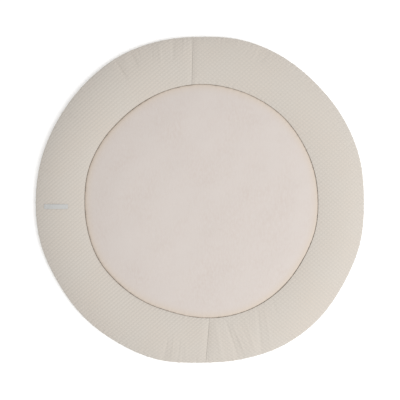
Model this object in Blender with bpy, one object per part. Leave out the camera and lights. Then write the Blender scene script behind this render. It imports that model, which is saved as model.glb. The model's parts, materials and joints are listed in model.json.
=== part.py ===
"""Round playpen mat: a domed centre pad, a stuffed border in two half rings, a back cloth and a ribbon label.

The mat lies flat, its underside on Z = 0 and its middle over the origin. +Y is its top edge and +X its
right edge, as seen from above. The border's two end seams lie near the top and near the bottom.
"""
import math
from collections import namedtuple

import bmesh
import bpy
from mathutils import Vector

# Sizes are in metres; MM turns a size in millimetres into metres
MM = 0.001

# Cloth and the clearance between neighbouring pieces
CLEARANCE = 0.3 * MM
BACK_THICKNESS = 2.0 * MM

# The rim, where the top and the back are sewn together
RIM_SEAM_HEIGHT = 13.0 * MM
RIM_TURN = 1.6 * MM
BACK_TURN_UP = 27.0 * MM
BACK_TURN_STEPS = 4

# The stuffed shapes: how far across the border its crown lies, and how round and how full the sides are
CROWN_ACROSS = 0.44
INNER_SIDE_ROUND = 3.0
OUTER_SIDE_ROUND = 2.3
OUTER_SIDE_FULL = 1.8
CENTRE_CROWN = 32.5 * MM
CENTRE_ROUND = 2.8
CENTRE_FULL_SHARE = 0.5

# Steps of the mesh around the mat and across each piece
STEPS_AROUND_HALF = 96
END_STEP_SPLIT = 0.35
INNER_SIDE_STEPS = 5
OUTER_SIDE_STEPS = 7
CENTRE_STEPS = 9
SETTLE_ROUNDS = 3
SHARP_ANGLE_DEG = 55

# Radius of the border's middle line
BORDER_MIDDLE = 385.0 * MM

# The mat's outline as it lies: sizes in mm at a clock angle, counted from +X towards +Y. Full is how
# abruptly the cloth rises beside the inner seam, where 1 is a plain slope.
OutlineRow = namedtuple("OutlineRow", "angle_deg rim seam crown valley full")
OUTLINE = [
    OutlineRow(0, 451.0, 323.5, 34.0, 28.0, 1.0),
    OutlineRow(15, 454.0, 323.0, 33.5, 27.5, 1.0),
    OutlineRow(30, 453.5, 321.8, 34.0, 27.0, 1.05),
    OutlineRow(45, 452.0, 322.3, 35.0, 27.0, 1.1),
    OutlineRow(60, 454.5, 319.6, 34.5, 26.5, 1.15),
    OutlineRow(75, 454.5, 317.9, 33.5, 26.0, 1.2),
    OutlineRow(90, 448.5, 317.6, 31.5, 25.0, 1.3),
    OutlineRow(105, 451.0, 314.6, 33.0, 23.0, 1.5),
    OutlineRow(120, 453.0, 311.6, 34.5, 21.0, 1.7),
    OutlineRow(135, 450.0, 310.3, 36.0, 20.0, 1.8),
    OutlineRow(150, 448.5, 314.0, 35.5, 19.5, 1.8),
    OutlineRow(165, 450.5, 317.5, 34.5, 20.0, 1.8),
    OutlineRow(180, 451.5, 317.0, 33.5, 20.0, 1.8),
    OutlineRow(195, 454.0, 319.6, 34.0, 20.0, 1.8),
    OutlineRow(210, 451.5, 323.4, 35.0, 20.5, 1.8),
    OutlineRow(225, 453.5, 321.0, 34.5, 21.0, 1.7),
    OutlineRow(240, 453.0, 318.7, 34.0, 22.0, 1.6),
    OutlineRow(255, 454.0, 317.0, 33.0, 23.5, 1.4),
    OutlineRow(270, 447.5, 322.6, 31.5, 25.5, 1.25),
    OutlineRow(285, 453.0, 328.0, 32.0, 26.5, 1.15),
    OutlineRow(300, 461.0, 330.0, 34.0, 27.5, 1.05),
    OutlineRow(315, 462.0, 329.0, 35.0, 28.0, 1.0),
    OutlineRow(330, 457.0, 326.0, 34.5, 28.0, 1.0),
    OutlineRow(345, 456.0, 326.4, 33.5, 28.0, 1.0),
]
ROW_STEP_DEG = 360 / len(OUTLINE)

# The border's end seams: straight lines that pass beside the mat's middle at an offset
EndSeam = namedtuple("EndSeam", "direction_deg offset")
TOP_SEAM = EndSeam(88.6, 30.0 * MM)
BOTTOM_SEAM = EndSeam(265.2, 53.0 * MM)
END_DIP = 3.0 * MM
END_DIP_WIDTH = 6.5 * MM

# The border's halves, each from one end seam round to the other
Half = namedtuple("Half", "name start finish")
HALVES = [
    Half("border_left", TOP_SEAM, BOTTOM_SEAM),
    Half("border_right", BOTTOM_SEAM, EndSeam(TOP_SEAM.direction_deg + 360, TOP_SEAM.offset)),
]

# Main puckers and ripples of the border's top, in degrees and mm; a positive height is a ridge
Fold = namedtuple("Fold", "inner_deg inner_radius outer_deg outer_radius half_width height")
FOLDS = [
    Fold(70.0, 400, 67.0, 452, 18, -1.4),
    Fold(101.0, 385, 99.5, 452, 13, -2.2),
    Fold(105.8, 385, 104.6, 450, 11, 1.8),
    Fold(110.5, 405, 109.5, 452, 11, -1.6),
    Fold(114.8, 405, 115.1, 453, 10, -2.8),
    Fold(121.2, 378, 121.3, 454, 12, -3.4),
    Fold(146.0, 405, 148.0, 450, 15, -1.6),
    Fold(256.5, 375, 257.0, 452, 13, -1.8),
    Fold(260.0, 365, 261.0, 448, 13, 1.6),
    Fold(276.0, 335, 277.0, 448, 20, 1.6),
    Fold(282.0, 330, 284.5, 447, 15, -3.5),
    Fold(286.0, 345, 289.5, 452, 14, 2.4),
    Fold(299.0, 345, 292.5, 455, 15, -2.6),
]
FOLD_HOLD = 9.0 * MM

# The ribbon label on the border's left half
LABEL_LENGTH = 66.0 * MM
LABEL_WIDTH = 13.0 * MM
LABEL_THICKNESS = 1.0 * MM
LABEL_LIFT = 0.9 * MM
LABEL_MIDDLE = Vector((-393.0 * MM, -18.0 * MM))
LABEL_STEPS = 10

# Colours of the cloths, as sRGB hex
BORDER_COLOUR = "D2C8BC"
CENTRE_COLOUR = "E4DAD2"
BACK_COLOUR = "DDD5CA"
LABEL_COLOUR = "D9DCDF"


def outline_value(column, angle):
    """One column of OUTLINE at an angle, on a smooth closed curve through its rows."""
    position = math.degrees(angle) / ROW_STEP_DEG
    row = math.floor(position)
    t = position - row
    before, here, after, beyond = (
        getattr(OUTLINE[(row + shift) % len(OUTLINE)], column) for shift in (-1, 0, 1, 2)
    )
    bend = 2 * before - 5 * here + 4 * after - beyond
    twist = 3 * (here - after) + beyond - before
    return here + t / 2 * (after - before + t * (bend + t * twist))


def around(column, angle):
    """One size of OUTLINE at an angle, in metres."""
    return MM * outline_value(column, angle)


def polar(radius, angle):
    """A point in plan."""
    return Vector((radius * math.cos(angle), radius * math.sin(angle)))


def seam_angle(seam, radius, shift):
    """Where an end seam, moved sideways by shift, crosses a radius."""
    return math.radians(seam.direction_deg) + math.asin((seam.offset + shift) / radius)


def section_angle(half, along, radius):
    """Angle at a radius of the section that lies a share of the way along a half of the border."""
    first = seam_angle(half.start, radius, CLEARANCE / 2)
    last = seam_angle(half.finish, radius, -CLEARANCE / 2)
    return first + along * (last - first)


def section_point(half, along, radius_at):
    """Radius and angle where that section meets a line round the mat, given as a radius at an angle."""
    radius = BORDER_MIDDLE
    for _ in range(SETTLE_ROUNDS):
        radius = radius_at(section_angle(half, along, radius))
    return radius, section_angle(half, along, radius)


def section_shares():
    """Shares of the way along a half for its sections, with one more beside each end seam."""
    last = STEPS_AROUND_HALF
    steps = [0, END_STEP_SPLIT, *range(1, last), last - END_STEP_SPLIT, last]
    return [step / last for step in steps]


def shared_angles(column):
    """Angles at which the border's sections meet its seam or its rim, all the way round."""
    angles = []
    for half in HALVES:
        for along in section_shares()[:-1]:
            angles.append(section_point(half, along, lambda a: around(column, a))[1])
    return angles


def side_steps(count, roundness):
    """Places from a crown (0) to a seam (1), closer together where the side turns down."""
    return [math.sin(math.pi / 2 * k / count) ** (2 / roundness) for k in range(count + 1)]


def stuffed(reach, roundness, fullness):
    """Height of a stuffed side as a share of its rise: 1 at the crown, 0 at the seam where reach is 1."""
    return max(0.0, 1 - reach**roundness) ** (1 / fullness)


def fold_height(point):
    """Sum of the puckers and ripples at a point in plan."""
    total = 0.0
    for fold in FOLDS:
        inner = polar(fold.inner_radius * MM, math.radians(fold.inner_deg))
        line = polar(fold.outer_radius * MM, math.radians(fold.outer_deg)) - inner
        along = (point - inner).dot(line) / line.length_squared
        aside = abs(line.cross(point - inner)) / line.length / (fold.half_width * MM)
        if along > 0 and aside < 1:
            swell = math.sin(math.pi / 2 * min(1.0, along))
            total += fold.height * MM * swell * math.cos(math.pi / 2 * aside) ** 2
    return total


def end_dip(point):
    """How deep the end seams draw the top cloth down at a point in plan."""
    dip = 0.0
    for seam in (TOP_SEAM, BOTTOM_SEAM):
        line = polar(1.0, math.radians(seam.direction_deg))
        if point.dot(line) > 0:
            aside = (line.cross(point) - seam.offset) / END_DIP_WIDTH
            dip += END_DIP * math.exp(-aside * aside)
    return dip


def border_top(radius, angle):
    """Height of the border's top cloth between the seam and the rim."""
    seam = around("seam", angle)
    rim = around("rim", angle)
    across = min(1.0, max(0.0, (radius - seam) / (rim - seam)))
    if across < CROWN_ACROSS:
        foot = around("valley", angle)
        share = stuffed(1 - across / CROWN_ACROSS, INNER_SIDE_ROUND, outline_value("full", angle))
    else:
        foot = RIM_SEAM_HEIGHT + RIM_TURN
        share = stuffed((across - CROWN_ACROSS) / (1 - CROWN_ACROSS), OUTER_SIDE_ROUND, OUTER_SIDE_FULL)
    held = max(0.0, min(1.0, (rim - radius) / FOLD_HOLD, (radius - seam) / FOLD_HOLD))
    point = polar(radius, angle)
    uneven = held * (fold_height(point) - end_dip(point))
    return foot + (around("crown", angle) - foot) * share + uneven


def centre_top(radius, angle):
    """Height of the centre pad's top cloth."""
    valley = around("valley", angle)
    reach = min(1.0, radius / around("seam", angle))
    full = 1 + CENTRE_FULL_SHARE * (outline_value("full", angle) - 1)
    return valley + (CENTRE_CROWN - valley) * stuffed(reach, CENTRE_ROUND, full)


def turn_up(inset, low, high):
    """The back's turned-up edge, from its flat to the rim: distances in from the rim, and heights."""
    points = []
    for k in range(BACK_TURN_STEPS + 1):
        turn = math.pi / 2 * k / BACK_TURN_STEPS
        inward = BACK_TURN_UP - (BACK_TURN_UP - inset) * math.sin(turn)
        points.append((inward, low + (high - low) * (1 - math.cos(turn))))
    return points


def cloth_material(name, colour, roughness):
    """A matt cloth of an sRGB hex colour."""
    shares = [int(colour[k : k + 2], 16) / 255 for k in (0, 2, 4)]
    linear = [((share + 0.055) / 1.055) ** 2.4 for share in shares]
    material = bpy.data.materials.new(name)
    material.use_nodes = True
    shader = material.node_tree.nodes["Principled BSDF"]
    shader.inputs["Base Color"].default_value = (*linear, 1.0)
    shader.inputs["Roughness"].default_value = roughness
    shader.inputs["Metallic"].default_value = 0.0
    return material


def loft(name, rings, material):
    """One closed solid through rings of points, with a cap on the first and on the last."""
    bm = bmesh.new()
    loops = [[bm.verts.new(point) for point in ring] for ring in rings]
    for loop, following in zip(loops, loops[1:]):
        for k in range(len(loop)):
            bm.faces.new((loop[k - 1], loop[k], following[k], following[k - 1]))
    bm.faces.new(loops[0])
    bm.faces.new(loops[-1])
    bmesh.ops.recalc_face_normals(bm, faces=bm.faces)
    mesh = bpy.data.meshes.new(name)
    bm.to_mesh(mesh)
    bm.free()
    mesh.shade_smooth()
    mesh.set_sharp_from_angle(angle=math.radians(SHARP_ANGLE_DEG))
    mesh.materials.append(material)
    piece = bpy.data.objects.new(name, mesh)
    bpy.context.scene.collection.objects.link(piece)


def border_radius(across, angle):
    """Radius at a share of the way across the border, from its seam to its rim."""
    seam = around("seam", angle) + CLEARANCE / 2
    return seam + across * (around("rim", angle) - seam)


def border_ring(half, along):
    """The border's section at a share of the way along a half: its top, its rim and its underside."""
    floor = BACK_THICKNESS + CLEARANCE
    crown_to_seam = [CROWN_ACROSS * (1 - reach) for reach in side_steps(INNER_SIDE_STEPS, INNER_SIDE_ROUND)]
    crown_to_rim = [
        CROWN_ACROSS + (1 - CROWN_ACROSS) * reach for reach in side_steps(OUTER_SIDE_STEPS, OUTER_SIDE_ROUND)
    ]
    under = [(0.0, RIM_SEAM_HEIGHT + CLEARANCE)]
    under += reversed(turn_up(floor, floor, RIM_SEAM_HEIGHT + CLEARANCE))

    ring = []
    for across in crown_to_seam[:0:-1] + crown_to_rim:
        radius, angle = section_point(half, along, lambda a: border_radius(across, a))
        ring.append((*polar(radius, angle), border_top(radius, angle)))
    for inward, height in under:
        radius, angle = section_point(half, along, lambda a: around("rim", a) - inward)
        ring.append((*polar(radius, angle), height))
    radius, angle = section_point(half, along, lambda a: border_radius(0.0, a))
    ring.append((*polar(radius, angle), floor))
    return ring


def border_half(half):
    """Half of the stuffed border."""
    rings = [border_ring(half, along) for along in section_shares()]
    loft(half.name, rings, cloth_material("border_knit", BORDER_COLOUR, roughness=0.9))


def centre_pad():
    """The domed centre, its flat underside first and its crown last."""
    rings = []
    angles = shared_angles("seam")
    edge = [around("seam", angle) - CLEARANCE / 2 for angle in angles]
    floor = BACK_THICKNESS + CLEARANCE
    rings.append([(*polar(radius, angle), floor) for radius, angle in zip(edge, angles)])
    for reach in side_steps(CENTRE_STEPS, CENTRE_ROUND)[:0:-1]:
        ring = []
        for radius, angle in zip(edge, angles):
            ring.append((*polar(reach * radius, angle), centre_top(reach * radius, angle)))
        rings.append(ring)
    loft("centre_pad", rings, cloth_material("centre_plush", CENTRE_COLOUR, roughness=0.95))


def back_panel():
    """The back cloth: flat on the floor, its edge turned up to the rim."""
    angles = shared_angles("rim")
    outside = turn_up(0.0, 0.0, RIM_SEAM_HEIGHT)
    inside = turn_up(BACK_THICKNESS, BACK_THICKNESS, RIM_SEAM_HEIGHT)
    rings = []
    for inward, height in outside + inside[::-1]:
        rings.append([(*polar(around("rim", angle) - inward, angle), height) for angle in angles])
    loft("back_panel", rings, cloth_material("back_cotton", BACK_COLOUR, roughness=0.9))


def label():
    """A woven ribbon sewn down at its short ends, so that its middle stands a little off the border."""
    sections = []
    for k in range(LABEL_STEPS + 1):
        share = k / LABEL_STEPS
        lift = CLEARANCE + LABEL_LIFT * math.sin(math.pi * share) ** 2
        under = []
        for side in (-0.5, 0.5):
            offset = Vector((LABEL_LENGTH * (share - 0.5), LABEL_WIDTH * side))
            point = LABEL_MIDDLE + offset
            height = border_top(point.length, math.atan2(point.y, point.x)) + lift
            under.append(Vector((*point, height)))
        over = [corner + Vector((0, 0, LABEL_THICKNESS)) for corner in reversed(under)]
        sections.append(under + over)
    loft("label", sections, cloth_material("label_ribbon", LABEL_COLOUR, roughness=0.6))


for leftover in list(bpy.data.objects):
    bpy.data.objects.remove(leftover, do_unlink=True)

for border_part in HALVES:
    border_half(border_part)
centre_pad()
back_panel()
label()
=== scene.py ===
import json
import math
from collections import namedtuple

import bpy
import numpy as np
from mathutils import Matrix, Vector

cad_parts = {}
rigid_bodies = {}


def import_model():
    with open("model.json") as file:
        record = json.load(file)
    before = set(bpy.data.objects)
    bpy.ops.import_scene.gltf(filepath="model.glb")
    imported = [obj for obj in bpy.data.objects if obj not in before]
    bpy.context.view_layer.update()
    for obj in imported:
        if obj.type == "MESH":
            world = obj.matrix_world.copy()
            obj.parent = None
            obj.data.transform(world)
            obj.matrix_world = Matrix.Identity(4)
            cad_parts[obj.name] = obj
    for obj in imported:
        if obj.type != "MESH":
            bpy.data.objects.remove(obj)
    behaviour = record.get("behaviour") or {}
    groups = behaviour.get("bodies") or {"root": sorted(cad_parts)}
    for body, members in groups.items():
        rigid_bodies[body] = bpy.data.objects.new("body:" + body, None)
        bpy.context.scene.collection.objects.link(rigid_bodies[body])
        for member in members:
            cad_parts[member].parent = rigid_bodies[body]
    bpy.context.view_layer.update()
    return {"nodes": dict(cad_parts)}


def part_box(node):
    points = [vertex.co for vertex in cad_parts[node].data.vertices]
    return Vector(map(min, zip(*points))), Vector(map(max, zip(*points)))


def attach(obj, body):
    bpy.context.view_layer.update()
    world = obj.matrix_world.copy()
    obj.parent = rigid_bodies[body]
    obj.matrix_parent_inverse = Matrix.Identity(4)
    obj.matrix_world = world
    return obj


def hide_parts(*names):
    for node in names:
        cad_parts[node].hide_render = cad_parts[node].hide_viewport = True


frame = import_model()

# Border
# Two half rings of beige double knit over soft loft. Each is sewn to the centre at the inner seam, to the
# back at the rim, and to the other half at two end seams. The right half is cut with the knit turned over,
# so the stronger lines of its diamonds lean the other way.

MM = 0.001
TURN = 2 * math.pi
SAME_ANGLE = 0.001
BORDER_NAMES = {"border_left": "border_left_knit", "border_right": "border_right_knit"}
TURNED_OVER = {"border_left": 1, "border_right": -1}
KNIT_TOP = "D4CDC4"
# Painted shade: the colour of the knit's sunk lines, a little darker than the tops
KNIT_GROOVE_SHADE = "CFC8BF"
KNIT_WARM = "D5CBC0"
DIAMOND_PITCH = 8.5 * MM
DIAMOND_LEAN_DEG = 50
LINE_SHARPNESS = (0.8, 0.35)
DIAMOND_RELIEF = 0.3 * MM
STITCH_PITCH = 2.2 * MM
STITCH_ROW_SHARE = 0.75
DOUBLES_GAP = 0.01 * MM
QUAD_ANGLE_DEG = 60
CRISP_EDGE_DEG = 24
PRESSURE = 4
SETTLING_STEPS = 20
STUFFING_CAP = 4 * MM
SEWN_MARGIN = 6 * MM

# How far up a point faces where the cloth is free to puff, where a face is halved, and how fast the
# relief comes in from the sides
FREE_UPNESS = 0.2
REFINED_UPNESS = 0.05
RELIEF_RISE = 1.5

# Gathers along the inner seam and the rim, and the rim's scallops: height or depth, reach, and counts of
# waves to the turn
GATHER_HEIGHT = 0.6 * MM
SEAM_GATHER_REACH = 12 * MM
SEAM_GATHERS = (89, 127, 171)
RIM_GATHER_REACH = 18 * MM
RIM_GATHERS = (151, 203, 263)
SCALLOP_DEPTH = 0.7 * MM
RIM_SCALLOPS = (97, 163, 229)
WAVE_SHIFT = 1.7

# The cut cloth is measured along the top, above this height, at this many places across
CUT_FROM_HEIGHT = 14 * MM
CUT_PLACES = 41

# Fine puckers over the solids' main folds: degrees and mm, a positive height is a ridge
Pucker = namedtuple("Pucker", "inner_deg inner_radius outer_deg outer_radius half_width height")
PUCKERS = [
    Pucker(93.5, 405, 93.0, 449, 5, -0.5),
    Pucker(96.4, 400, 95.6, 449, 6, 0.7),
    Pucker(100.9, 388, 99.4, 452, 8, -1.2),
    Pucker(105.9, 385, 104.6, 452, 8, 1.2),
    Pucker(108.6, 400, 107.6, 451, 5, -0.8),
    Pucker(112.9, 418, 112.6, 452, 5, -0.9),
    Pucker(114.9, 402, 115.2, 454, 5, -1.6),
    Pucker(117.9, 415, 118.2, 453, 6, 0.8),
    Pucker(121.2, 384, 121.3, 455, 6, -2.2),
    Pucker(124.2, 428, 124.6, 453, 6, -0.8),
    Pucker(128.5, 432, 128.4, 452, 5, -0.6),
    Pucker(146.5, 425, 147.4, 450, 8, -0.8),
    Pucker(169.0, 428, 168.6, 451, 7, -0.5),
    Pucker(191.0, 428, 191.6, 453, 7, -0.5),
    Pucker(214.0, 432, 214.0, 452, 6, -0.6),
    Pucker(236.0, 428, 236.6, 452, 6, -0.6),
    Pucker(256.8, 385, 257.2, 450, 6, -0.9),
    Pucker(259.2, 370, 259.8, 450, 5, 0.7),
    Pucker(261.6, 380, 262.2, 448, 5, -0.8),
    Pucker(264.4, 390, 265.0, 447, 6, 0.5),
    Pucker(277.0, 335, 278.0, 447, 9, 0.8),
    Pucker(281.8, 332, 283.6, 447, 6, -1.6),
    Pucker(284.4, 345, 286.6, 450, 6, 1.3),
    Pucker(287.6, 345, 289.4, 452, 5, -0.7),
    Pucker(290.6, 345, 290.2, 453, 6, 0.8),
    Pucker(297.8, 335, 291.8, 454, 8, -1.4),
    Pucker(301.5, 334, 296.0, 440, 7, 0.7),
    Pucker(306.0, 333, 304.0, 375, 7, -0.6),
    Pucker(2.0, 328, 359.0, 372, 7, -0.6),
    Pucker(8.0, 327, 4.5, 375, 6, 0.5),
    Pucker(14.0, 326, 10.5, 372, 6, -0.6),
    Pucker(21.0, 325, 18.0, 365, 6, 0.5),
    Pucker(34.0, 325, 32.0, 358, 7, -0.5),
    Pucker(66.4, 405, 65.2, 453, 9, -0.8),
    Pucker(69.8, 405, 68.8, 453, 6, 0.6),
    Pucker(72.8, 412, 71.8, 453, 5, -0.6),
]


def points_of(piece):
    """The piece's vertices as rows of x, y and z."""
    flat = np.empty(len(piece.data.vertices) * 3, np.float32)
    piece.data.vertices.foreach_get("co", flat)
    return flat.reshape(-1, 3).astype(float)


def upness_of(elements):
    """How far up each vertex or face of a mesh faces, from -1 to 1."""
    flat = np.empty(len(elements) * 3, np.float32)
    elements.foreach_get("normal", flat)
    return flat.reshape(-1, 3)[:, 2]


def move_points(piece, points):
    """Moves the piece's vertices to rows of x, y and z."""
    piece.data.vertices.foreach_set("co", points.astype(np.float32).ravel())
    piece.data.update()


def edge_line(node):
    """Angle and radius of a CAD node's outermost points, in order round the mat."""
    points = points_of(frame["nodes"][node])
    angle = np.arctan2(points[:, 1], points[:, 0])
    order = np.argsort(angle)
    starts = np.flatnonzero(np.diff(angle[order], prepend=-TURN) > SAME_ANGLE)
    radius = np.hypot(points[:, 0], points[:, 1])
    return angle[order][starts], np.maximum.reduceat(radius[order], starts)


seam_line = edge_line("centre_pad")
rim_line = edge_line("back_panel")


def place_across(points):
    """Angle, radius, and the seam's and the rim's radius at that angle, for rows of x, y and z."""
    angle = np.arctan2(points[:, 1], points[:, 0])
    seam = np.interp(angle, *seam_line, period=TURN)
    rim = np.interp(angle, *rim_line, period=TURN)
    return angle, np.hypot(points[:, 0], points[:, 1]), seam, rim


def select_only(piece):
    """Makes the piece the only one that operators act on."""
    bpy.ops.object.select_all(action="DESELECT")
    piece.select_set(True)
    bpy.context.view_layer.objects.active = piece


def copy_of_node(node, name):
    """A CAD node's mesh as a new piece, its doubles merged and its triangles paired into quads."""
    piece = bpy.data.objects.new(name, frame["nodes"][node].data.copy())
    bpy.context.scene.collection.objects.link(piece)
    piece.data.materials.clear()
    select_only(piece)
    bpy.ops.object.mode_set(mode="EDIT")
    bpy.ops.mesh.select_all(action="SELECT")
    bpy.ops.mesh.remove_doubles(threshold=DOUBLES_GAP)
    flatness = math.radians(QUAD_ANGLE_DEG)
    bpy.ops.mesh.tris_convert_to_quads(face_threshold=flatness, shape_threshold=flatness)
    bpy.ops.object.mode_set(mode="OBJECT")
    return piece


def finish_with(piece, kind, **settings):
    """Adds a modifier with its settings and applies it."""
    select_only(piece)
    modifier = piece.modifiers.new(kind.lower(), kind)
    for setting, value in settings.items():
        setattr(modifier, setting, value)
    bpy.ops.object.modifier_apply(modifier=modifier.name)


def round_off(piece):
    """One level of subdivision that keeps the sewn edges crisp."""
    select_only(piece)
    bpy.ops.object.mode_set(mode="EDIT")
    bpy.ops.mesh.select_mode(type="EDGE")
    bpy.ops.mesh.select_all(action="DESELECT")
    bpy.ops.mesh.edges_select_sharp(sharpness=math.radians(CRISP_EDGE_DEG))
    bpy.ops.transform.edge_crease(value=1)
    bpy.ops.object.mode_set(mode="OBJECT")
    finish_with(piece, "SUBSURF", levels=1, render_levels=1)


def refine_top(piece):
    """Halves the faces that face up."""
    select_only(piece)
    bpy.ops.object.mode_set(mode="EDIT")
    bpy.ops.mesh.select_mode(type="FACE")
    bpy.ops.mesh.select_all(action="DESELECT")
    bpy.ops.object.mode_set(mode="OBJECT")
    piece.data.polygons.foreach_set("select", upness_of(piece.data.polygons) > REFINED_UPNESS)
    bpy.ops.object.mode_set(mode="EDIT")
    bpy.ops.mesh.subdivide(number_cuts=1)
    bpy.ops.object.mode_set(mode="OBJECT")


def stuff(piece, sewn, cap):
    """Puffs the cloth up by cloth simulation where it isn't sewn down, no point by more than the cap."""
    flat = points_of(piece)
    group = piece.vertex_groups.new(name="sewn")
    group.add(np.flatnonzero(sewn).tolist(), 1.0, "REPLACE")
    select_only(piece)
    cloth = piece.modifiers.new("stuffing", "CLOTH")
    cloth.settings.vertex_group_mass = "sewn"
    cloth.settings.use_pressure = True
    cloth.settings.uniform_pressure_force = PRESSURE
    cloth.settings.effector_weights.gravity = 0
    for step in range(1, SETTLING_STEPS + 1):
        bpy.context.scene.frame_set(step)
    bpy.ops.object.modifier_apply(modifier=cloth.name)
    bpy.context.scene.frame_set(1)
    piece.vertex_groups.clear()
    moved = points_of(piece) - flat
    length = np.linalg.norm(moved, axis=1, keepdims=True)
    move_points(piece, flat + moved * np.minimum(1, cap / np.maximum(length, 1e-9)))


def pucker_height(points):
    """Sum of the fine puckers at rows of x, y and z."""
    total = np.zeros(len(points))
    for pucker in PUCKERS:
        ends = []
        for degrees, radius in pucker[:2], pucker[2:4]:
            bearing = math.radians(degrees)
            ends.append(radius * MM * np.array([math.cos(bearing), math.sin(bearing)]))
        line = ends[1] - ends[0]
        length = np.linalg.norm(line)
        offset = points[:, :2] - ends[0]
        along = offset @ line / length**2
        aside = np.abs(offset[:, 1] * line[0] - offset[:, 0] * line[1]) / length / (pucker.half_width * MM)
        fade = np.sqrt(np.sin(math.pi * np.clip(along, 0, 1)))
        total += pucker.height * MM * fade * np.cos(math.pi / 2 * np.minimum(aside, 1)) ** 2
    return total


def gathers(angle, counts):
    """Uneven small gathers round a seam, from -1 to 1, made of a few counts of waves to the turn."""
    waves = [np.cos(count * angle + WAVE_SHIFT * count) for count in counts]
    return sum(waves) / len(waves)


def diamonds(x, y):
    """The knit's raised diamonds, from 0 in the sunk lines to 1."""
    height = 1.0
    for side, sharpness in zip((1, -1), LINE_SHARPNESS):
        lean = side * math.radians(DIAMOND_LEAN_DEG)
        walk = x * math.cos(lean) + y * math.sin(-lean)
        height = height * np.abs(np.cos(math.pi / DIAMOND_PITCH * walk)) ** sharpness
    return height


def cut_cloth(points, side):
    """Where each point of the top lies on the cloth as it was cut, before it was bent over the loft."""
    _, radius, seam, rim = place_across(points)
    across = (radius - seam) / (rim - seam)
    on_top = points[:, 2] > CUT_FROM_HEIGHT
    shares = np.linspace(0, 1, CUT_PLACES)
    half_step = shares[1] / 2
    heights = [points[on_top & (np.abs(across - share) < half_step), 2].mean() for share in shares]
    width = (rim - seam).mean()
    steps = np.hypot(np.diff(shares) * width, np.diff(heights))
    walked = np.concatenate([[0], np.cumsum(steps)])
    flat_radius = seam + np.interp(across, shares, walked)
    return points[:, :2] * (flat_radius / np.maximum(radius, 1 * MM))[:, None] * (side, 1)


def linear(colour):
    """An sRGB hex colour, none of its shares near black, as linear red, green, blue and alpha."""
    shares = [int(colour[k : k + 2], 16) / 255 for k in (0, 2, 4)]
    return [((share + 0.055) / 1.055) ** 2.4 for share in shares] + [1.0]


def add(tree, kind, settings, **inputs):
    """Adds a node, sets it, and gives each named input a value or a link; in0 is the first input."""
    node = tree.nodes.new(kind)
    for setting, value in settings.items():
        setattr(node, setting, value)
    for name, value in inputs.items():
        socket = node.inputs[int(name[2:])] if name.startswith("in") else node.inputs[name.replace("_", " ")]
        if isinstance(value, bpy.types.NodeSocket):
            tree.links.new(value, socket)
        else:
            socket.default_value = value
    return node


def new_material(name):
    """An empty node material: its tree and its shader."""
    material = bpy.data.materials.new(name)
    material.use_nodes = True
    return material, material.node_tree, material.node_tree.nodes["Principled BSDF"]


# Cotton double knit: matt, soft, each diamond a low pillow between two sets of sunk lines, and rows of
# small stitch loops over all. The loops are drawn at 2.2 mm, coarser than real, so that they show.
knit, tree, shader = new_material("cotton_double_knit")
cut_place = add(tree, "ShaderNodeUVMap", {"uv_map": "cut_cloth"}).outputs["UV"]
pillow = 1.0
for side, sharpness in zip((-1, 1), LINE_SHARPNESS):
    turned = add(tree, "ShaderNodeMapping", {"vector_type": "TEXTURE"}, Vector=cut_place,
                 Rotation=(0, 0, side * math.radians(DIAMOND_LEAN_DEG)), Scale=(DIAMOND_PITCH / math.pi,) * 3)
    across_lines = add(tree, "ShaderNodeSeparateXYZ", {}, Vector=turned.outputs["Vector"]).outputs["X"]
    wave = add(tree, "ShaderNodeMath", {"operation": "COSINE"}, in0=across_lines).outputs[0]
    raised = add(tree, "ShaderNodeMath", {"operation": "ABSOLUTE"}, in0=wave).outputs[0]
    raised = add(tree, "ShaderNodeMath", {"operation": "POWER"}, in0=raised, in1=sharpness).outputs[0]
    pillow = add(tree, "ShaderNodeMath", {"operation": "MULTIPLY"}, in0=raised, in1=pillow).outputs[0]
rows = add(tree, "ShaderNodeMapping", {"vector_type": "TEXTURE"}, Vector=cut_place,
           Scale=(STITCH_PITCH, STITCH_PITCH * STITCH_ROW_SHARE, 1))
loops = add(tree, "ShaderNodeTexVoronoi", {"feature": "SMOOTH_F1"}, Vector=rows.outputs["Vector"],
            Scale=1.0, Randomness=0.35, Smoothness=0.6).outputs["Distance"]
patches = add(tree, "ShaderNodeTexNoise", {}, Vector=cut_place, Scale=9.0, Detail=3.0).outputs["Fac"]
fuzz = add(tree, "ShaderNodeTexNoise", {}, Vector=cut_place, Scale=900.0, Detail=2.0).outputs["Fac"]
worn = add(tree, "ShaderNodeMapRange", {}, Value=patches, From_Min=0.35, From_Max=0.7).outputs["Result"]
top_colour = add(tree, "ShaderNodeMix", {"data_type": "RGBA"}, Factor=worn)
top_colour.inputs[6].default_value = linear(KNIT_TOP)
top_colour.inputs[7].default_value = linear(KNIT_WARM)
# Painted shade in the grooves: the sunk lines between the pillows take the darker groove colour
colour = add(tree, "ShaderNodeMix", {"data_type": "RGBA"}, Factor=pillow)
colour.inputs[6].default_value = linear(KNIT_GROOVE_SHADE)
tree.links.new(top_colour.outputs[2], colour.inputs[7])
tree.links.new(colour.outputs[2], shader.inputs["Base Color"])
fine = add(tree, "ShaderNodeBump", {}, Height=fuzz, Distance=0.15 * MM, Strength=0.5)
loop_bump = add(tree, "ShaderNodeBump", {"invert": True}, Height=loops, Distance=0.3 * MM, Strength=0.5,
                Normal=fine.outputs["Normal"])
relief = add(tree, "ShaderNodeBump", {}, Height=pillow, Distance=0.5 * MM, Strength=1.0,
             Normal=loop_bump.outputs["Normal"])
tree.links.new(relief.outputs["Normal"], shader.inputs["Normal"])
shader.inputs["Roughness"].default_value = 0.92
shader.inputs["Sheen Weight"].default_value = 0.25
shader.inputs["Sheen Roughness"].default_value = 0.6
shader.inputs["Specular IOR Level"].default_value = 0.25

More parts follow.
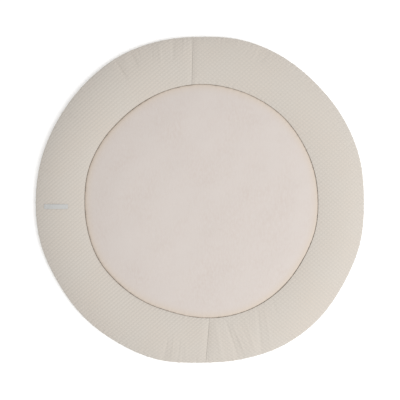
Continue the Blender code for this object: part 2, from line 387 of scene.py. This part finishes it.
for node, name in BORDER_NAMES.items():
    piece = copy_of_node(node, name)
    round_off(piece)
    _, radius, seam, rim = place_across(points_of(piece))
    facing_up = upness_of(piece.data.vertices) > FREE_UPNESS
    free = facing_up & (radius > seam + SEWN_MARGIN) & (radius < rim - SEWN_MARGIN)
    stuff(piece, ~free, STUFFING_CAP)
    round_off(piece)
    refine_top(piece)
    points = points_of(piece)
    angle, radius, seam, rim = place_across(points)
    flat = cut_cloth(points, TURNED_OVER[node])
    upward = np.clip(upness_of(piece.data.vertices) * RELIEF_RISE, 0, 1)
    near_seam = np.exp(-(((radius - seam) / SEAM_GATHER_REACH) ** 2))
    near_rim = np.exp(-(((rim - radius) / RIM_GATHER_REACH) ** 2))
    lift = pucker_height(points)
    lift += GATHER_HEIGHT * near_seam * gathers(angle, SEAM_GATHERS)
    lift += GATHER_HEIGHT * near_rim * gathers(angle, RIM_GATHERS)
    lift += DIAMOND_RELIEF * (diamonds(*flat.T) - 0.5)
    points[:, 2] += upward * lift
    scallop = SCALLOP_DEPTH * near_rim * gathers(angle, RIM_SCALLOPS)
    points[:, :2] *= (1 + scallop / radius)[:, None]
    move_points(piece, points)
    corner = np.empty(len(piece.data.loops), np.int32)
    piece.data.loops.foreach_get("vertex_index", corner)
    layer = piece.data.uv_layers.new(name="cut_cloth")
    layer.uv.foreach_set("vector", flat[corner].astype(np.float32).ravel())
    select_only(piece)
    bpy.ops.object.shade_smooth()
    piece.data.materials.append(knit)
    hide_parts(node)
    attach(piece, "root")

# Centre pad
# One round panel of soft off-white plush over loft, sewn down all round at the inner seam, so that it
# rises in a low dome. The short pile takes faint upright marks from handling.

PLUSH = "D9D0CA"
PLUSH_SHADE = "D5CAC3"
# Painted shade of the seam's crease: the darker, warmer colour and how far it reaches from the seam
PLUSH_SEAM_SHADE = "D8CBBE"
SEAM_SHADE_REACH = 14 * MM
NAP_STROKE = (4 * MM, 11 * MM, 4 * MM)
CENTRE_VOXEL = 6 * MM
CENTRE_CAP = 3 * MM
CENTRE_SEWN_MARGIN = 8 * MM
CENTRE_FREE_HEIGHT = 18 * MM
CENTRE_SWELL_HEIGHT = 12 * MM
CENTRE_SWELL_RISE = 8 * MM
CENTRE_GATHER_HEIGHT = 0.5 * MM
CENTRE_GATHER_REACH = 14 * MM
CENTRE_GATHERS = (83, 119, 163)

# Soft swells of the loft: length in mm, direction in degrees, height in mm, phase in turns
Swell = namedtuple("Swell", "length direction_deg height phase")
SWELLS = [
    Swell(210, 20, 0.4, 0.1),
    Swell(130, 75, 0.25, 0.6),
    Swell(95, 140, 0.2, 0.3),
    Swell(62, 105, 0.1, 0.8),
]

# Short-pile plush: a soft matt nap with no thread showing, painted shade that makes it a little darker and
# warmer towards the seam, and faint upright strokes about 10 mm long.
plush, tree, shader = new_material("short_pile_plush")
place = add(tree, "ShaderNodeTexCoord", {}).outputs["Object"]
pile = add(tree, "ShaderNodeTexNoise", {}, Vector=place, Scale=700.0, Detail=3.0).outputs["Fac"]
nap = add(tree, "ShaderNodeMapping", {"vector_type": "TEXTURE"}, Vector=place, Scale=NAP_STROKE)
nap_place = nap.outputs["Vector"]
marks = add(tree, "ShaderNodeTexNoise", {}, Vector=nap_place, Scale=1.0, Detail=1.0).outputs["Fac"]
cloud = add(tree, "ShaderNodeTexNoise", {}, Vector=place, Scale=14.0, Detail=2.0).outputs["Fac"]
mark_share = add(tree, "ShaderNodeMapRange", {}, Value=marks, From_Min=0.3, From_Max=0.7).outputs["Result"]
cloud_share = add(tree, "ShaderNodeMapRange", {}, Value=cloud, From_Min=0.3, From_Max=0.7).outputs["Result"]
shade = add(tree, "ShaderNodeMath", {"operation": "MULTIPLY"}, in0=mark_share, in1=cloud_share).outputs[0]
nap_colour = add(tree, "ShaderNodeMix", {"data_type": "RGBA"}, Factor=shade)
nap_colour.inputs[6].default_value = linear(PLUSH)
nap_colour.inputs[7].default_value = linear(PLUSH_SHADE)
# Painted shade: the plush turns darker and warmer towards the seam
crushed = add(tree, "ShaderNodeAttribute", {"attribute_name": "crushed_at_seam"}).outputs["Fac"]
colour = add(tree, "ShaderNodeMix", {"data_type": "RGBA"}, Factor=crushed)
tree.links.new(nap_colour.outputs[2], colour.inputs[6])
colour.inputs[7].default_value = linear(PLUSH_SEAM_SHADE)
tree.links.new(colour.outputs[2], shader.inputs["Base Color"])
pile_bump = add(tree, "ShaderNodeBump", {}, Height=pile, Distance=0.3 * MM, Strength=0.5)
nap_bump = add(tree, "ShaderNodeBump", {}, Height=marks, Distance=0.4 * MM, Strength=0.5,
               Normal=pile_bump.outputs["Normal"])
tree.links.new(nap_bump.outputs["Normal"], shader.inputs["Normal"])
shader.inputs["Roughness"].default_value = 0.95
shader.inputs["Sheen Weight"].default_value = 0.3
shader.inputs["Sheen Roughness"].default_value = 0.5
shader.inputs["Specular IOR Level"].default_value = 0.2

centre = copy_of_node("centre_pad", "centre_plush_pad")
centre.data.remesh_voxel_size = CENTRE_VOXEL
bpy.ops.object.voxel_remesh()
finish_with(centre, "SMOOTH", factor=0.5, iterations=3)
points = points_of(centre)
_, radius, seam, _ = place_across(points)
free = (points[:, 2] > CENTRE_FREE_HEIGHT) & (radius < seam - CENTRE_SEWN_MARGIN)
stuff(centre, ~free, CENTRE_CAP)
finish_with(centre, "SUBSURF", levels=1, render_levels=1)
points = points_of(centre)
angle, radius, seam, _ = place_across(points)
on_top = np.clip((points[:, 2] - CENTRE_SWELL_HEIGHT) / CENTRE_SWELL_RISE, 0, 1)
near_seam = np.exp(-(((seam - radius) / CENTRE_GATHER_REACH) ** 2))
lift = CENTRE_GATHER_HEIGHT * near_seam * gathers(angle, CENTRE_GATHERS)
for swell in SWELLS:
    direction = math.radians(swell.direction_deg)
    walk = points[:, 0] * math.cos(direction) + points[:, 1] * math.sin(direction)
    lift += swell.height * MM * np.sin(TURN * (walk / (swell.length * MM) + swell.phase))
points[:, 2] += on_top * lift
move_points(centre, points)
# Painted shade: the share of the seam colour, fading over about 14 mm from the seam
seam_shade_share = np.exp(-(((seam - radius) / SEAM_SHADE_REACH) ** 2))
attribute = centre.data.attributes.new("crushed_at_seam", "FLOAT", "POINT")
attribute.data.foreach_set("value", seam_shade_share.astype(np.float32))
select_only(centre)
bpy.ops.object.shade_smooth()
centre.data.materials.append(plush)
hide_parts("centre_pad")
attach(centre, "root")

# Back cloth
# One round of plain woven cotton under the whole mat, flat on the floor, turned up at its edge to the rim
# seam, where the knit is gathered onto it.

BACK_COTTON = "DAD2C7"
BACK_COTTON_SHADE = "D0C8BD"
BACK_STEPS = 360
BACK_RINGS = 26
RINGED_SHARE = 0.95
FLAT_SHARE = 0.9
BACK_RIPPLE = 0.5 * MM
BACK_RIPPLES = (97, 141, 189)
BACK_TURN_UP = 27 * MM
BACK_THREAD = 1.4 * MM
BACK_CLOTH = 1.6 * MM

# Plain woven cotton: flat and matt, its threads crossing one by one. They are drawn at 1.4 mm, coarser
# than real, so that they show.
cotton, tree, shader = new_material("plain_woven_cotton")
place = add(tree, "ShaderNodeTexCoord", {}).outputs["Object"]
weave = 1.0
for axis in ("X", "Y"):
    walk = add(tree, "ShaderNodeSeparateXYZ", {}, Vector=place).outputs[axis]
    step = add(tree, "ShaderNodeMath", {"operation": "MULTIPLY"}, in0=walk, in1=TURN / BACK_THREAD).outputs[0]
    thread = add(tree, "ShaderNodeMath", {"operation": "SINE"}, in0=step).outputs[0]
    weave = add(tree, "ShaderNodeMath", {"operation": "MULTIPLY"}, in0=thread, in1=weave).outputs[0]
slubs = add(tree, "ShaderNodeTexNoise", {}, Vector=place, Scale=60.0, Detail=3.0).outputs["Fac"]
colour = add(tree, "ShaderNodeMix", {"data_type": "RGBA"}, Factor=slubs)
colour.inputs[6].default_value = linear(BACK_COTTON)
colour.inputs[7].default_value = linear(BACK_COTTON_SHADE)
tree.links.new(colour.outputs[2], shader.inputs["Base Color"])
weave_bump = add(tree, "ShaderNodeBump", {}, Height=weave, Distance=0.3 * MM, Strength=0.5)
tree.links.new(weave_bump.outputs["Normal"], shader.inputs["Normal"])
shader.inputs["Roughness"].default_value = 0.9
shader.inputs["Sheen Weight"].default_value = 0.1

bpy.ops.object.select_all(action="DESELECT")
bpy.ops.mesh.primitive_circle_add(vertices=BACK_STEPS, radius=1, fill_type="NGON")
back = bpy.context.object
back.name = "back_cloth"
bpy.ops.object.mode_set(mode="EDIT")
for ring in range(BACK_RINGS):
    bpy.ops.mesh.inset(thickness=RINGED_SHARE / BACK_RINGS, depth=0)
bpy.ops.object.mode_set(mode="OBJECT")
points = points_of(back)
share = np.hypot(points[:, 0], points[:, 1])
angle = np.arctan2(points[:, 1], points[:, 0])
rim = np.interp(angle, *rim_line, period=TURN)
rim_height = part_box("back_panel")[1].z
flat_radius = rim - BACK_TURN_UP
turn = np.clip((share - FLAT_SHARE) / (1 - FLAT_SHARE), 0, 1) * math.pi / 2
turned_radius = flat_radius + BACK_TURN_UP * np.sin(turn)
radius = np.where(share < FLAT_SHARE, share / FLAT_SHARE * flat_radius, turned_radius)
height = rim_height * (1 - np.cos(turn))
height += BACK_RIPPLE * np.sin(2 * turn) * gathers(angle, BACK_RIPPLES)
move_points(back, np.stack([radius * np.cos(angle), radius * np.sin(angle), height], 1))
finish_with(back, "SOLIDIFY", thickness=BACK_CLOTH, offset=1)
bpy.ops.object.shade_smooth()
back.data.materials.append(cotton)
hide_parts("back_panel")
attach(back, "root")

# Label
# A short woven ribbon, left bare, laid flat on the border's left half and stitched down at its two short
# ends, which are folded under.

RIBBON = "D3D3D1"
RIBBON_SHADE = "C8C8C6"
RIBBON_CLOTH = 0.6 * MM
RIBBON_REST = 0.5 * MM
RIBBON_LIFT = 0.8 * MM
RIBBON_LIFT_RUN = 12 * MM
RIBBON_REACH = 5 * MM
RIBBON_STEPS = (44, 8)
HEM = 6 * MM
HEM_RISE = 0.5 * MM
RIBBON_RIB = 0.9 * MM
OVER_THE_MAT = 100 * MM

# Woven taffeta ribbon: fine cross ribs and a faint sheen. The ribs are drawn at 0.9 mm, coarser than real.
ribbon_material, tree, shader = new_material("woven_taffeta_ribbon")
place = add(tree, "ShaderNodeTexCoord", {}).outputs["Object"]
walk = add(tree, "ShaderNodeSeparateXYZ", {}, Vector=place).outputs["X"]
step = add(tree, "ShaderNodeMath", {"operation": "MULTIPLY"}, in0=walk, in1=TURN / RIBBON_RIB).outputs[0]
ribs = add(tree, "ShaderNodeMath", {"operation": "SINE"}, in0=step).outputs[0]
shade = add(tree, "ShaderNodeTexNoise", {}, Vector=place, Scale=300.0, Detail=2.0).outputs["Fac"]
colour = add(tree, "ShaderNodeMix", {"data_type": "RGBA"}, Factor=shade)
colour.inputs[6].default_value = linear(RIBBON)
colour.inputs[7].default_value = linear(RIBBON_SHADE)
tree.links.new(colour.outputs[2], shader.inputs["Base Color"])
rib_bump = add(tree, "ShaderNodeBump", {}, Height=ribs, Distance=0.15 * MM, Strength=0.6)
tree.links.new(rib_bump.outputs["Normal"], shader.inputs["Normal"])
shader.inputs["Roughness"].default_value = 0.55
shader.inputs["Sheen Weight"].default_value = 0.2

low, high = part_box("label")
middle = (low + high) / 2
length, width = high.x - low.x, high.y - low.y
under = bpy.data.objects[BORDER_NAMES["border_left"]]
bpy.context.view_layer.update()


def rest_height(x, y):
    """Height of the border's finished top at a point in plan."""
    hit, spot, _, _ = under.ray_cast(Vector((x, y, OVER_THE_MAT)), Vector((0, 0, -1)))
    return spot.z if hit else middle.z


bpy.ops.object.select_all(action="DESELECT")
bpy.ops.mesh.primitive_grid_add(x_subdivisions=RIBBON_STEPS[0], y_subdivisions=RIBBON_STEPS[1], size=1)
label = bpy.context.object
label.name = "ribbon_label"
points = points_of(label)
from_end = (0.5 - np.abs(points[:, 0])) * length
points = points * (length, width, 0) + (middle.x, middle.y, 0)
shifts = (-RIBBON_REACH, 0, RIBBON_REACH)
heights = []
for x, y, _ in points:
    around_it = [rest_height(x + dx, y + dy) for dx in shifts for dy in shifts]
    heights.append(sum(around_it) / len(around_it))
lift = RIBBON_LIFT * np.clip((from_end - HEM) / RIBBON_LIFT_RUN, 0, 1) + HEM_RISE * (from_end < HEM)
points[:, 2] = np.array(heights) + RIBBON_REST + lift
move_points(label, points)
finish_with(label, "SOLIDIFY", thickness=RIBBON_CLOTH, offset=1)
finish_with(label, "SUBSURF", levels=1, render_levels=1)
bpy.ops.object.shade_smooth()
label.data.materials.append(ribbon_material)
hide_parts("label")
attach(label, "root")

# Camera, floor and light
# Seen from straight above, with soft light from high on the lower right, on a plain white floor that glows
# a little, as a lit table does, so that it stays white under the mat's edge.

VIEW_WIDTH = 1.1
CAMERA_LENS = 85
SENSOR = 36
FRAMED_HEIGHT = 13 * MM
FLOOR_SIZE = 12
FLOOR_DROP = 0.2 * MM
FLOOR_PAINT = "F4F4F4"
FLOOR_GLOW = 0.3
KEY_PLACE = (1.2, -0.56, 2.5)
KEY_SIZE = 1.6
KEY_POWER = 45
ROOM_LIGHT = 0.55

camera = bpy.data.objects.new("camera", bpy.data.cameras.new("camera"))
bpy.context.scene.collection.objects.link(camera)
camera.data.lens = CAMERA_LENS
camera.data.sensor_width = SENSOR
camera.location = (0, 0, FRAMED_HEIGHT + VIEW_WIDTH * CAMERA_LENS / SENSOR)
bpy.context.scene.camera = camera

bpy.ops.object.select_all(action="DESELECT")
bpy.ops.mesh.primitive_plane_add(size=FLOOR_SIZE, location=(0, 0, -FLOOR_DROP))
floor = bpy.context.object
floor.name = "floor"
floor_paint, tree, shader = new_material("white_floor")
shader.inputs["Base Color"].default_value = linear(FLOOR_PAINT)
shader.inputs["Roughness"].default_value = 0.9
shader.inputs["Emission Color"].default_value = (1, 1, 1, 1)
shader.inputs["Emission Strength"].default_value = FLOOR_GLOW
floor.data.materials.append(floor_paint)

key = bpy.data.objects.new("key", bpy.data.lights.new("key", "AREA"))
bpy.context.scene.collection.objects.link(key)
key.data.size = KEY_SIZE
key.data.energy = KEY_POWER
key.location = KEY_PLACE
key.rotation_mode = "QUATERNION"
key.rotation_quaternion = (-Vector(key.location)).to_track_quat("-Z", "Y")

world = bpy.data.worlds.new("studio")
world.use_nodes = True
world.node_tree.nodes["Background"].inputs["Color"].default_value = (1, 1, 1, 1)
world.node_tree.nodes["Background"].inputs["Strength"].default_value = ROOM_LIGHT
bpy.context.scene.world = world
bpy.context.scene.view_settings.view_transform = "Standard"
